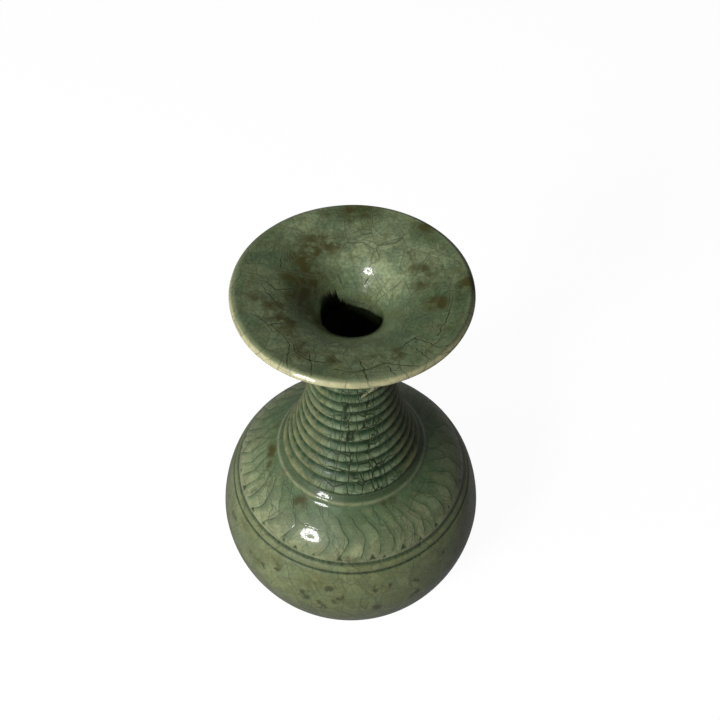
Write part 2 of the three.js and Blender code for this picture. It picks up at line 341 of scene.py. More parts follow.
# Behind, the funnel came out a little fuller, and the lip a little higher
FAR_SIDE, FAR_SPREAD, FAR_RISE, FAR_LEAN, FAR_REACH = 66.0, 62.0, 1.0, 8.0, 3.0
FAR_DISH = dish(FUNNEL_LEAN + FAR_LEAN, FUNNEL_REACH + FAR_REACH)


def on_dish(azimuth, radius):
    """Places on the mouth's upper side, at these distances from the axis."""
    height = np.interp(radius, DISH[::-1, 0], DISH[::-1, 1])
    return around(azimuth, radius, height)


def on_side(azimuth, height):
    """Places on the vase's outside, at these heights."""
    return around(azimuth, outside_radius(height), height)


def around(azimuth, radius, height):
    angle = np.radians(azimuth)
    places = (radius * np.cos(angle), radius * np.sin(angle), height + 0 * angle)
    return np.stack(np.broadcast_arrays(*places), -1)


# Marks of the hand and the kiln


def wave(azimuth, height, size, seed, turns=(2, 3, 5), drift=60.0):
    """A slow wave round the vase, which changes from one height to the next."""
    draw = np.random.default_rng(seed)
    total = 0
    for turn in turns:
        start, twist = draw.uniform(0, 2 * math.pi), draw.uniform(-1, 1)
        total = total + np.cos(turn * azimuth + start + twist * height / drift) / turn
    return size * total


# The lobes, whose edges sweep round by these degrees before and after a share of their way out
LOBES, LOBE_PLACE, LOBE_REACH = 42, -96.1, 0.62
LOBE_START, LOBE_END = -12.5, -6.0
# The uneven spacing of the lobes: degrees, times round the vase, start, and turns on the way out
LOBE_SWAY = [(1.3, 3, 1.0, 0), (0.9, 7, 4.0, 0), (0.45, 9, 0.0, 16), (5.0, 3, 5.86, 0)]
# The slanted knife's depth, and the shares of a lobe behind and before the edge that it took
LOBE_DEPTH, KNIFE_REACH, KNIFE_LEAD = 0.13, 0.62, 0.05
# The stretch of the way out that is carved, with its ramps, and the one whose glaze shows it
CUT_SPAN, SHOWN_SPAN, CUT_UNEVEN = (0.05, 0.25, 0.97, 0.12), (0.04, 0.16, 0.93, 0.08), 0.25
# Where the lobes are worn away: azimuth, way out, and how far round and out
WORN = (-112.0, 0.56, 9.5, 0.3)


def lobe_share(azimuth, height):
    """Where a place lies in its carved lobe, from 0 past one edge to 1 at the next, and its way out.

    The way out runs from 0 at the collar to 1 at the wide line."""
    out = (outside_radius(height) - COLLAR_FOOT[0]) / (EDGE_RADIUS - COLLAR_FOOT[0])
    inner = rise(out, LOBE_REACH, -LOBE_REACH) ** 1.5 * LOBE_START
    outer = rise(out, LOBE_REACH, 1 - LOBE_REACH) ** 2 * LOBE_END
    sway = sum(size * np.sin(turns * azimuth + start + way * out) for size, turns, start, way in LOBE_SWAY)
    turn = np.degrees(azimuth) - LOBE_PLACE - inner - outer - sway
    return (turn * LOBES / 360) % 1, out


def worn(azimuth, out):
    """The plain spot in front, 1 in its middle, where the lobes hardly show."""
    place, way, wide, long = WORN
    return bell(degrees_past(azimuth, place), wide, 4) * bell(out - way, long, 4)


def carving(azimuth, height):
    """How far the slanted knife went into the shoulder, behind each lobe's edge."""
    share, out = lobe_share(azimuth, height)
    ramp = rise(share, KNIFE_REACH, -KNIFE_REACH) ** 1.3
    lead = rise(share, 1 - KNIFE_LEAD, KNIFE_LEAD)
    strength = between(out, *CUT_SPAN) * (1 + CUT_UNEVEN * (np.sin(5 * azimuth + 2.0) - 1))
    return LOBE_DEPTH * np.maximum(ramp, lead) * strength * (1 - worn(azimuth, out))


# Small three-sided cuts at the lobes' feet, above the wide line: azimuth, height, width, depth
NOTCHES = [
    (-124.7, 86.2, 3.0, 0.5), (-117.8, 85.9, 3.4, 0.6), (-108.0, 86.0, 2.4, 0.4),
    (-95.1, 86.0, 4.2, 0.7), (-79.0, 86.1, 4.6, 0.9), (-73.3, 85.4, 3.0, 0.6), (-62.9, 86.6, 4.2, 0.9),
    (-53.3, 85.8, 3.2, 0.6),
]
NOTCH_SEED, NOTCH_WALL = 11, 0.5
# Where a notch's foot lies and how tall it is, in widths, how fast it narrows, and its unfilled share
NOTCH_FOOT, NOTCH_TALL, NOTCH_TAPER, NOTCH_OPEN = 0.3, 0.62, 1.25, 0.5


def all_notches():
    """The notches in front, and others round the rest of the shoulder."""
    draw = np.random.default_rng(NOTCH_SEED)
    cuts = list(NOTCHES)
    for azimuth in np.arange(-40, 226, 12):
        place = azimuth + draw.uniform(-3, 3)
        cuts.append((place, draw.uniform(85.6, 86.6), draw.uniform(2.4, 4.4), draw.uniform(0.5, 0.9)))
    return cuts


def notch_depth(azimuth, height, full=None):
    """How deep the notches go, or how dark they are where a full value is given."""
    total = 0
    for place, middle, width, depth in all_notches():
        side = np.radians(degrees_past(azimuth, place)) * EDGE_RADIUS
        up = height - middle + width * NOTCH_FOOT
        inside = np.minimum(up, (width * NOTCH_TALL - up) - np.abs(side) * NOTCH_TAPER)
        total = np.maximum(total, (full or depth * NOTCH_OPEN) * rise(inside, 0, NOTCH_WALL))
    return total


# Long cracks in the mouth's glaze, as (azimuth, distance from the axis)
MOUTH_CRACKS = [
    [(117, 44.8), (124, 42.6), (131, 38.5), (140, 35.0), (149, 31.5), (157, 29.2)],
    [(154, 44.5), (158, 42.4), (166, 38.5), (172, 35.6), (186, 30.2), (200, 25.9)],
    [(112, 43.5), (110, 40.7), (107, 35.0), (106, 30.5), (103, 24.5), (99, 19.4), (76, 15.4)],
    [(121, 41.0), (119, 37.7), (118, 27.1), (112, 17.0), (105, 12.3)],
    [(102, 36.3), (95, 27.5)],
    [(86, 34.3), (81, 27.7), (84, 19.3)],
    [(49, 22.9), (58, 18.0), (66, 15.0), (75, 11.8)],
    [(31, 38.8), (16, 37.6), (-1, 36.9), (-23, 36.7), (-38, 37.5)],
    [(-63, 33.0), (-54, 32.0), (-46, 31.8), (-43, 41.9), (-38, 44.2)],
    [(-52, 36.4), (-52, 44.7)],
    [(-71, 38.5), (-70, 44.9)],
    [(-100, 38.2), (-88, 39.7), (-72, 36.7), (-58, 43.6)],
    [(-85, 34.3), (-83, 43.4)],
    [(-127, 33.5), (-123, 36.0), (-113, 37.2), (-104, 36.0)],
    [(-115, 34.4), (-109, 40.8), (-107, 44.6)],
    [(-149, 34.0), (-139, 32.5), (-129, 34.4), (-120, 43.8)],
    [(-164, 44.8), (-160, 38.0), (-149, 34.0), (-146, 27.0)],
    [(60, 44.5), (64, 36.0), (66, 28.0), (70, 21.0)],
    [(8, 44.6), (4, 36.9), (14, 29.0), (20, 22.0)],
    [(140, 35.0), (146, 27.0), (150, 21.0), (158, 16.0)],
    [(172, 35.6), (178, 27.0), (170, 20.5)],
    [(40, 44.8), (41, 38.0), (31, 33.0), (33, 26.0)],
]
# Brown stains that soaked into the mouth's glaze, the strong ones low on the funnel's left wall also
# painted shade there: azimuth, distance from the axis, size, strength
MOUTH_STAINS_AND_SHADE = [
    (94, 41.0, 6.0, 0.85), (84, 41.5, 6.0, 0.7), (104, 40.0, 5.0, 0.5), (110, 28.0, 6.5, 0.85),
    (120, 30.0, 6.0, 0.75), (112, 31.0, 5.0, 0.75), (126, 26.2, 5.5, 0.9), (140, 25.4, 6.0, 1.0),
    (133, 30.0, 4.0, 0.5), (154, 16.5, 5.0, 1.0), (172, 19.0, 8.0, 1.0), (158, 19.0, 8.0, 1.3),
    (163, 22.5, 7.0, 0.85), (-175, 23.0, 6.0, 0.6), (-158, 16.0, 6.5, 1.0), (150, 21.0, 4.5, 0.8),
    (-166, 28.9, 5.5, 0.8), (-170, 34.0, 4.5, 0.7), (-148, 28.4, 6.0, 0.9), (-135, 31.0, 5.5, 0.7),
    (28, 25.5, 4.5, 0.6), (13, 28.0, 5.5, 0.9), (22, 29.0, 5.0, 0.7), (20, 22.0, 3.6, 0.5),
    (-11, 31.6, 4.6, 0.9), (40, 30.0, 4.5, 0.4), (2, 36.0, 4.0, 0.3), (2, 44.0, 5.0, 0.9),
    (48, 42.5, 4.0, 0.8), (-74, 34.7, 4.5, 0.8), (-64, 34.0, 3.6, 0.8), (-88, 33.0, 3.4, 0.6),
    (-100, 33.8, 4.0, 0.7), (-122, 34.2, 4.4, 0.8), (-112, 40.0, 4.0, 0.4), (165, 40.0, 5.0, 0.3),
    (145, 42.0, 5.0, 0.4), (-30, 40.0, 5.0, 0.5),
]
# Lighter patches of the mouth, darker where the strength is below 0, in the same order. Besides the
# glaze's own tone they paint light on the funnel's far right, which faces the lamp, and shade on the
# funnel's left wall and along the rim on the right
MOUTH_TONE_AND_LIGHT = [
    (95, 31.0, 12.0, 0.3), (90, 42.0, 11.0, -0.5), (60, 22.0, 9.0, 0.6), (25, 20.0, 7.0, 0.5),
    (30, 30.0, 8.0, 0.2), (120, 39.0, 7.0, 0.35), (0, 41.0, 9.0, -0.3), (45, 43.0, 9.0, -0.4),
    (80, 44.0, 6.0, -0.3), (-35, 38.0, 12.0, -0.2), (178, 19.0, 9.0, -0.4), (160, 18.5, 7.0, -0.7),
    (-150, 22.0, 6.0, -0.2), (170, 42.0, 10.0, 0.1), (-140, 39.0, 9.0, 0.1),
]
# A wedge of cream slip on the neck, right of the middle: azimuth, height, width
WEDGE = [(-78, 156.4, 0.5), (-72, 157.6, 1.9), (-66, 158.9, 3.0), (-57, 160.8, 3.6)]
WEDGE += [(-48, 162.2, 3.0), (-40, 163.2, 1.6), (-34, 163.8, 0.2)]
WEDGE_RELIEF, WEDGE_WALL = 0.55, 0.45

# Long cracks on the shoulder and belly, as (azimuth, height)
SIDE_CRACKS = [
    [(-149, 98.7), (-134, 97.7), (-121, 93.1), (-114, 93.8), (-99, 92.8), (-90, 88.0)],
    [(-156, 98.0), (-149, 94.0), (-141, 92.5), (-128, 93.0)],
    [(-141, 92.5), (-137, 88.0)],
    [(-112, 99.5), (-107, 96.0), (-99, 92.8), (-96, 87.0), (-97, 84.6)],
    [(-74, 99.6), (-72, 96.0), (-66, 92.5), (-66, 88.0)],
    [(-66, 99.8), (-63, 96.5), (-58, 93.5), (-57, 88.0), (-60, 85.0)],
    [(-88, 79.0), (-84, 70.0), (-86, 60.0), (-80, 48.0)],
    [(-120, 78.0), (-116, 66.0), (-108, 57.0), (-104, 44.0)],
    [(-60, 79.0), (-64, 66.0), (-58, 54.0)],
    [(-40, 99.0), (-36, 94.0), (-28, 91.0), (-26, 86.0)],
    [(20, 99.5), (26, 93.0), (22, 86.0)],
    [(70, 99.5), (64, 92.0), (72, 86.0), (70, 76.0), (76, 60.0)],
    [(130, 99.0), (136, 93.0), (128, 87.0), (132, 78.0), (126, 62.0)],
    [(176, 99.5), (171, 92.0), (178, 86.0), (172, 74.0)],
    [(-5, 79.0), (3, 66.0), (-3, 50.0)],
]
# Brown stains on the side: azimuth, height, size, strength
SIDE_STAINS = [
    (164, 97.8, 4.0, 0.9), (-174, 98.4, 4.4, 1.0), (-163, 97.0, 3.6, 0.7), (-152, 100.6, 2.6, 0.5),
    (-127, 98.0, 4.0, 0.9), (-112, 98.6, 3.4, 0.4), (-57, 99.1, 3.4, 0.7), (-66, 99.4, 2.4, 0.6),
    (-92, 86.3, 3.6, 0.55), (-88, 85.6, 2.6, 0.5), (-148, 78.0, 4.0, 0.6), (-160, 72.0, 6.0, 0.55),
    (-125, 73.0, 6.0, 0.55), (-108, 70.0, 7.0, 0.45), (-95, 66.0, 6.0, 0.45), (-78, 72.0, 6.0, 0.4),
    (-135, 66.0, 6.0, 0.45), (30, 98.0, 4.0, 0.7), (100, 97.0, 4.0, 0.6), (70, 70.0, 7.0, 0.4),
    (160, 66.0, 7.0, 0.4),
]
# Dark dabs of the scroll under the belly's glaze, in front: azimuth, height, size
DABS = [
    (-107.4, 67.0, 1.5), (-110.5, 64.0, 1.2), (-108.1, 60.7, 1.7), (-103.7, 59.4, 1.5),
    (-101.9, 56.6, 1.9), (-98.7, 69.9, 1.9), (-96.4, 68.2, 1.4), (-94.6, 65.6, 1.4), (-96.4, 62.4, 1.4),
    (-79.3, 69.5, 1.9), (-76.0, 70.6, 1.2), (-73.6, 70.5, 1.4), (-83.7, 57.7, 1.3), (-78.6, 56.2, 1.8),
    (-61.0, 65.7, 2.0), (-60.3, 58.5, 1.7), (-63.0, 56.0, 1.5), (-124.0, 70.0, 1.5),
    (-131.0, 66.5, 1.3),
]
DAB_SEED, BACK_DABS = 5, 70


def scroll_dabs():
    """The dabs in front, and bunches of them round the rest of the belly."""
    draw = np.random.default_rng(DAB_SEED)
    dabs = list(DABS)
    for _ in range(BACK_DABS):
        dabs.append((draw.uniform(-48, 220), draw.uniform(54, 73), draw.uniform(0.9, 1.8)))
    return dabs


def spots(points, table, surface, spread=1.0):
    """Soft round spots on these points, one for each line of a table: place, size and strength."""
    for first, second, size, *strength in table:
        away = ((points - surface(first, second)) ** 2).sum(-1) / (size * spread) ** 2
        yield (strength or [1.0])[0] * np.exp(-away)


def blots(points, table, surface, spread=1.0):
    """Where these spots meet, the stronger one shows."""
    return functools.reduce(np.maximum, spots(points, table, surface, spread))


def patches(points, table, surface):
    """These spots add up, from a half."""
    return np.clip(sum(spots(points, table, surface), 0.5), 0, 1)


# How far off a crack is told of, the gap between its points, and how much and how smoothly it wanders
CRACK_FAR, CRACK_STEP, CRACK_WANDER, CRACK_BLUR = 3.0, 0.25, 0.9, 15


def crack_line(path, surface, draw):
    """Points along a crack, which wanders a little between the places that it passes."""
    first, second = np.array(path, float).T
    corners = surface(first, second)
    lengths = np.linalg.norm(np.diff(corners, axis=0), axis=1)
    along = np.append(0, np.cumsum(lengths))
    places = np.arange(0, along[-1], CRACK_STEP)
    blur = np.hanning(CRACK_BLUR) / np.hanning(CRACK_BLUR).sum()
    wander = np.convolve(draw.normal(0, CRACK_WANDER, len(places) + CRACK_BLUR - 1), blur, "valid")
    turn = wander / max(10.0, float(np.hypot(*corners[0, :2]))) * RADIAN
    first, second = np.interp(places, along, first), np.interp(places, along, second)
    return surface(first + turn, second + wander * 0.5)


def crack_distance(points, paths, surface, seed):
    """The distance from each point to the nearest of these cracks, up to CRACK_FAR."""
    draw = np.random.default_rng(seed)
    line = np.vstack([crack_line(path, surface, draw) for path in paths])
    tree = kdtree.KDTree(len(line))
    for index, place in enumerate(line):
        tree.insert(place, index)
    tree.balance()
    flat = points.reshape(-1, 3)
    found = np.array([tree.find(place)[2] for place in flat])
    return np.minimum(found, CRACK_FAR).reshape(points.shape[:-1])


# Meshes


def row_normals(rows):
    """Unit vectors square to an outline, out of the clay."""
    step = np.gradient(rows, axis=0)
    return np.stack([step[:, 1], -step[:, 0]], 1) / np.hypot(*step.T)[:, None]


def blurred_rows(values, along, reach):
    weights = np.exp(-(((along[:, None] - along) / reach) ** 2) / 2)
    weights *= np.gradient(along)
    return weights @ values / weights.sum(1)[:, None]


def blurred_round(values, radii, reach):
    """Each row blurred round the axis by the same reach in millimetres."""
    waves = np.fft.rfft(values, axis=1)
    counts = np.arange(waves.shape[1])
    waves *= np.exp(-((counts * (reach / radii)[:, None]) ** 2) / 2)
    return np.fft.irfft(waves, values.shape[1], axis=1)


POOL_REACH, POOL_FULL = 1.5, 0.42
# How far the walls and the rim stray from round and level, and from where on they do in full
HAND_WAVE, RIM_WAVE, WAVE_RADIUS, WAVE_HEIGHT, RIM_WIDTH = 0.16, 0.3, 30.0, 12.0, 15.0


def placed(name, data):
    """A new object in the scene."""
    thing = bpy.data.objects.new(name, data)
    bpy.context.scene.collection.objects.link(thing)
    return thing


class Section:
    """One thrown section: runs of an outline, turned round the axis into a closed grid of points."""

    def __init__(self, name, sides, before, glazed, after=()):
        runs = [*before, glazed, *after]
        self.name, self.sides = name, sides
        self.rows = joined(*runs)
        ends = np.cumsum([0] + [len(run) - 1 for run in runs])
        self.closed = np.allclose(self.rows[0], self.rows[-1])
        self.corners = ends[:-1] if self.closed else ends[1:-1]
        if self.closed:
            self.rows = self.rows[:-1]
        # The numbers of the glazed run's rows, which wrap round on a closed outline
        self.glazed = np.arange(ends[len(before)], ends[len(before) + 1] + 1) % len(self.rows)
        self.azimuth = np.linspace(0, 2 * math.pi, sides, endpoint=False)[None, :]
        self.radius = np.maximum(self.rows[:, :1], 0)
        self.height = self.rows[:, 1:]
        self.relief = np.zeros((len(self.rows), sides))
        self.layers = {}

    def spread(self, values, rest=0.0):
        """These values on the glazed run, and one value everywhere else."""
        total = np.full(self.relief.shape, float(rest))
        total[self.glazed] = values
        return total

    def paint(self, **layers):
        """Keeps these values of the glazed run for the shader, by name."""
        self.layers |= {name: self.spread(values) for name, values in layers.items()}

    def carve(self, relief):
        """Adds relief to the glazed run, in millimetres out of the clay."""
        self.relief[self.glazed] += relief

    def points(self):
        """The grid's points, with the relief and the wave of the potter's hand."""
        rows = self.glazed
        normals = np.zeros_like(self.rows)
        normals[rows] = row_normals(self.rows[rows])
        radius = self.radius + self.relief * normals[:, :1]
        height = self.height + self.relief * normals[:, 1:]
        steady = rise(self.radius, 0, WAVE_RADIUS) * rise(self.height, 0, WAVE_HEIGHT)
        radius = radius + steady * wave(self.azimuth, self.height, HAND_WAVE, seed=3)
        rim = rise(self.radius, WAVE_RADIUS, RIM_WIDTH) * (self.height > NECK_TOP)
        height = height + rim * wave(self.azimuth, self.height, RIM_WAVE, seed=8)
        height = height + rim * FAR_RISE * (1 + np.sin(self.azimuth)) / 2
        angle = self.azimuth + 0 * radius
        return np.stack([radius * np.cos(angle), radius * np.sin(angle), height], -1)

    def pooling(self):
        """How thick the glaze lies: above 0 in hollows and below 0 on crests."""
        rows = self.glazed
        outline = self.rows[rows]
        along = np.append(0, np.cumsum(np.hypot(*np.diff(outline, axis=0).T)))
        below = ((blurred_rows(outline, along, POOL_REACH) - outline) * row_normals(outline)).sum(1)
        relief = self.relief[rows]
        radii = np.maximum(outline[:, 0], 5)
        soft = blurred_round(blurred_rows(relief, along, POOL_REACH), radii, POOL_REACH)
        return np.clip(self.spread((below[:, None] + soft - relief) / POOL_FULL), -1, 1)

    def build(self):
        """The section as one closed mesh. A row that lies on the axis shrinks to one point."""
        self.layers["pool"] = self.pooling()
        ids = np.arange(self.relief.size).reshape(self.relief.shape)
        if not self.closed:
            ids[0], ids[-1] = ids[0, 0], ids[-1, 0]
        kept, ids = np.unique(ids, return_inverse=True)
        ids = ids.reshape(self.relief.shape)
        upper = np.roll(ids, -1, axis=0)
        faces = np.stack([ids, np.roll(ids, -1, 1), np.roll(upper, -1, 1), upper], -1)
        faces = (faces if self.closed else faces[:-1]).reshape(-1, 4).tolist()
        mesh = bpy.data.meshes.new(self.name + "_glazed")
        points = self.points().reshape(-1, 3)[kept] * MM
        mesh.from_pydata(points.tolist(), [], [list(dict.fromkeys(face)) for face in faces])
        mesh.shade_smooth()
        self.sharpen(mesh, kept // self.sides)
        for name, values in self.layers.items():
            layer = mesh.attributes.new(name, "FLOAT", "POINT")
            layer.data.foreach_set("value", values.reshape(-1)[kept].astype(np.float32))
        return placed(self.name + "_glazed", mesh)

    def sharpen(self, mesh, rows):
        """Marks the rings at the outline's corners as sharp, so that the glaze's shading stops there."""
        ends = np.empty(len(mesh.edges) * 2, np.int32)
        mesh.edges.foreach_get("vertices", ends)
        low, high = rows[ends].reshape(-1, 2).T
        layer = mesh.attributes.new("sharp_edge", "BOOLEAN", "EDGE")
        layer.data.foreach_set("value", (low == high) & np.isin(low, self.corners))


def mouth_section():
    glazed = joined(
        evenly(UNDERSIDE, UNDERSIDE_STEP),
        evenly(LIP, FINE),
        evenly(DISH, FINE),
        evenly([THROAT, (WAIST_BORE, NECK_TOP)], THROAT_STEP),
    )
    section = Section("mouth", 640, tongued_rim(MOUTH_SEAM), glazed)
    section.carve(mouth_relief(section))
    grid, turned, layers = section.points(), section.azimuth, section.layers
    dish = section.height[:, 0] > BRINK[1] - 4
    layers["crack"] = np.full(section.relief.shape, CRACK_FAR)
    layers["crack"][dish] = crack_distance(grid[dish], MOUTH_CRACKS, on_dish, seed=21)
    layers["stain"] = blots(grid, MOUTH_STAINS_AND_SHADE, on_dish, STAIN_SPREAD)
    layers["shade"] = patches(grid, MOUTH_TONE_AND_LIGHT, on_dish)
    # The thin glaze on the lip is widest in front. It is palest on the left of it, towards the lamp, where
    # the pale edge is brightened as painted light.
    thin = rise(section.radius, facing(turned, -85, 43.7, 44.5), 0.6)
    layers["lip"] = thin * (section.height > UNDER_LIP[1] - 0.5) * facing(turned, -105, 1.0, 0.2)
    # Painted shade: the throat's bore is painted near black up to its edge, with less gloss.
    layers["bore_shade"] = bore_shade(turned, section.height) * (section.radius < BORE_SHADE_RADIUS)
    return section


# How high the painted shade of the bore comes up the throat: azimuth, height
BORE_SHADE_EDGE = [(-180, 188.4), (-16, 188.4), (0, 186.0), (37, 180.4), (57, 179.4), (73, 179.4)]
BORE_SHADE_EDGE += [(89, 180.8), (101, 182.2), (114, 185.0), (122, 189.4), (140, 190.4), (152, 190.4)]
BORE_SHADE_EDGE += [(180, 188.4)]
BORE_SHADE_RADIUS, BORE_SHADE_SOFTNESS, NECK_BORE_SHADE = 14.6, 1.8, 0.8
# How ragged its edge is, and how much more so round one place
RAGGED, RAGGED_MORE, RAGGED_PLACE, RAGGED_WIDTH = 0.3, 1.3, 122.0, 14.0
# Where dirt has made the neck's fine cracks dark, azimuth and width, and how dark they are elsewhere
CRAZED, CRAZED_LEAST = ((-82.0, 44.0), (118.0, 30.0)), 0.12
STAIN_SPREAD, DAB_SPREAD = 1.2, 1.5


def bore_shade(azimuth, height):
    """1 where the bore is painted dark as its shade. Its edge is ragged, most of all behind on the left.
    """
    turn = degrees_past(azimuth)
    ragged = RAGGED + RAGGED_MORE * bell(turn - RAGGED_PLACE, RAGGED_WIDTH)
    edge = np.interp(turn, *np.array(BORE_SHADE_EDGE).T)
    edge += ragged * np.sin(47 * azimuth) * np.cos(19 * azimuth + 1.0)
    return rise(edge, height, BORE_SHADE_SOFTNESS)


def mouth_relief(section):
    """The flange's slight waves, and the uneven far wall of the funnel."""
    rows = section.glazed
    radius, height = section.radius[rows], section.height[rows]
    flange = rise(radius, 20, 10)
    waves = flange * wave(section.azimuth, radius * 3, 0.12, seed=31, turns=(4, 7, 11))
    plain, far = (np.interp(radius, line[::-1, 0], line[::-1, 1]) for line in (DISH, FAR_DISH))
    upper = rise(radius, THROAT[0] + 0.1, 0.8) * (height > plain - 0.6)
    fuller = upper * (far - plain) * np.clip(row_normals(section.rows[rows])[:, 1:], 0, 1)
    return waves + fuller * bell(degrees_past(section.azimuth, FAR_SIDE), FAR_SPREAD)


def neck_section():
    rest = grooved_rim(MOUTH_SEAM)
    rest += [evenly(inside_wall(NECK_TOP, NECK_ROOT_HEIGHT, bore_radius), COARSE)]
    section = Section("neck", 480, tongued_rim(NECK_SEAM), evenly(ribbed(), FINE), rest)
    azimuth, height = section.azimuth, section.height[section.glazed]
    uneven = wave(azimuth, height * 6, 0.07, seed=41, turns=(3, 5, 8))
    cream = wedge(azimuth, height)
    section.carve(uneven + WEDGE_RELIEF * np.sqrt(cream))
    section.layers["crack"] = np.full(section.relief.shape, CRACK_FAR)
    section.layers["stain"] = side_stains(section)
    # Painted shade: the neck's bore and its seams are painted mostly black.
    section.layers["bore_shade"] = section.spread(0, NECK_BORE_SHADE)
    turn = rib_turn(height) + wave(azimuth, height * 9, 0.05, seed=43, turns=(4, 9, 15))
    share = turn - np.floor(turn)
    # Painted light: the pale paint covers each rib's upper side, which faces the lamp, as well as its
    # crest.
    pale = between(share, *PALE_AND_LIT_SPAN)
    section.paint(cream=cream, ridge=pale * pale * (3 - 2 * pale), craze=crazing(azimuth))
    return section


def wedge(azimuth, height):
    """The pale slip left under the mouth, in front: 1 in its middle and 0 outside it."""
    turn = degrees_past(azimuth)
    place, middle, width = np.array(WEDGE).T
    half = np.interp(turn, place, width, 0, 0) / 2
    return rise(half, np.abs(height - np.interp(turn, place, middle)), WEDGE_WALL)


def crazing(azimuth):
    """How dark dirt has made the neck's fine cracks: most in front, and behind."""
    front, behind = (bell(degrees_past(azimuth, place), width, 4) for place, width in CRAZED)
    return CRAZED_LEAST + (1 - CRAZED_LEAST) * np.maximum(front, behind)


def side_stains(section):
    return blots(section.points(), SIDE_STAINS, on_side)


def side_marks(section):
    """The stains, dabs and long cracks on the shoulder and belly, as layers."""
    grid, rows = section.points(), section.glazed
    crack = np.full(section.relief.shape, CRACK_FAR)
    crack[rows] = crack_distance(grid[rows], SIDE_CRACKS, on_side, seed=22)
    dab = blots(grid, scroll_dabs(), on_side, DAB_SPREAD)
    section.layers |= {"crack": crack, "stain": side_stains(section), "dab": dab}


def body_inside(high, low):
    """The body's inside, from a height down to a lower one."""
    return evenly(inside_wall(high, low, lambda z: inside_radius(z, BODY_WALL)), COARSE)


def shoulder_section():
    rest = grooved_rim(NECK_SEAM) + [body_inside(NECK_ROOT_HEIGHT, BELLY_HEIGHT)]
    glazed = joined(
        evenly(cut_lines(joined(UPPER_BELLY, SHOULDER_SLOPE)), SLOPE_STEP),
        evenly(joined(COLLAR_RIDGE, COLLAR_BAND), COLLAR_STEP),
    )
    section = Section("shoulder", 768, tongued_rim(BELLY_SEAM), glazed, rest)
    azimuth, height = section.azimuth, section.height[section.glazed]
    share, out = lobe_share(azimuth, height)
    above = height > EDGE_HEIGHT
    cut = carving(azimuth, height) * above * (height < COLLAR_FOOT[1])
    section.carve(-np.maximum(cut, notch_depth(azimuth, height)))
    section.carve(wave(azimuth, height * 4, 0.06, seed=51, turns=(5, 9, 14)))
    side_marks(section)
    section.paint(lobe_x=np.cos(2 * math.pi * share), lobe_y=np.sin(2 * math.pi * share))
    carved = above * (height < COLLAR_FOOT[1] + 0.4) * between(out, *SHOWN_SPAN)
    section.paint(carved=carved * (1 - 0.85 * worn(azimuth, out)))
    section.paint(shade=np.clip(np.where(height < EDGE_HEIGHT, 0.5, out), 0, 1))
    section.paint(below=rise(height, EDGE_HEIGHT + 0.4, -1.5), groove=line_dark(height))
    section.paint(notch=notch_depth(azimuth, height, 1.0))
    # Painted light: the collar's dark band is painted fainter on the left, and its pale crest paler there,
    # the side that faces the lamps.
    band = rise(height, COLLAR_HEIGHT + 0.15, 0.5)
    section.paint(band=band * facing(azimuth, 170, 0.56, 1.0))
    crest = bell(height - COLLAR_HEIGHT + 0.15, 0.5)
    section.paint(crest=crest * facing(azimuth, 190, 1.0, 0.4))
    return section


def line_dark(height):
    """Where the two cut lines are painted dark: thick glaze in them, and on the wide line's upper half
    painted shade as well.
    """
    wide, narrow = off_line(WIDE_LINE, height), off_line(NARROW_LINE, height)
    return np.maximum(between(wide, *WIDE_DARK), between(narrow, *NARROW_DARK))


def lower_body_section():
    start = evenly([(0, FOOT_HEIGHT), (FOOT_SEAM["inside"], FOOT_HEIGHT)], COARSE)
    wall = body_inside(BELLY_HEIGHT, BODY_FLOOR + FLOOR_FILLET)
    floor = evenly([(wall[-1, 0] - FLOOR_FILLET, BODY_FLOOR), (0, BODY_FLOOR)], COARSE)
    rest = grooved_rim(BELLY_SEAM) + [joined(wall, floor)]
    glazed = evenly(LOWER_OUTSIDE, MIDDLE)
    section = Section("lower_body", 480, [start] + tongued_rim(FOOT_SEAM), glazed, rest)
    side_marks(section)
    section.paint(shade=0.5)
    return section


def foot_section():
    inner, outer = FOOT_RADIUS - FOOT_WALL, FOOT_RADIUS
    sole = joined(
        evenly([(inner, FOOT_HEIGHT), (inner, FOOT_BEVEL)], MIDDLE),
        evenly(arc((inner + FOOT_BEVEL, FOOT_BEVEL), FOOT_BEVEL, 180, 270), MIDDLE / 2),
        evenly([(inner + FOOT_BEVEL, 0), (outer - FOOT_BEVEL, 0)], MIDDLE),
        evenly(arc((outer - FOOT_BEVEL, FOOT_BEVEL), FOOT_BEVEL, -90, 0), MIDDLE / 2),
        evenly([(outer, FOOT_BEVEL), (outer, FOOT_HEIGHT)], MIDDLE),
    )
    return Section("foot_ring", 360, [], sole, grooved_rim(FOOT_SEAM))


# Shaders


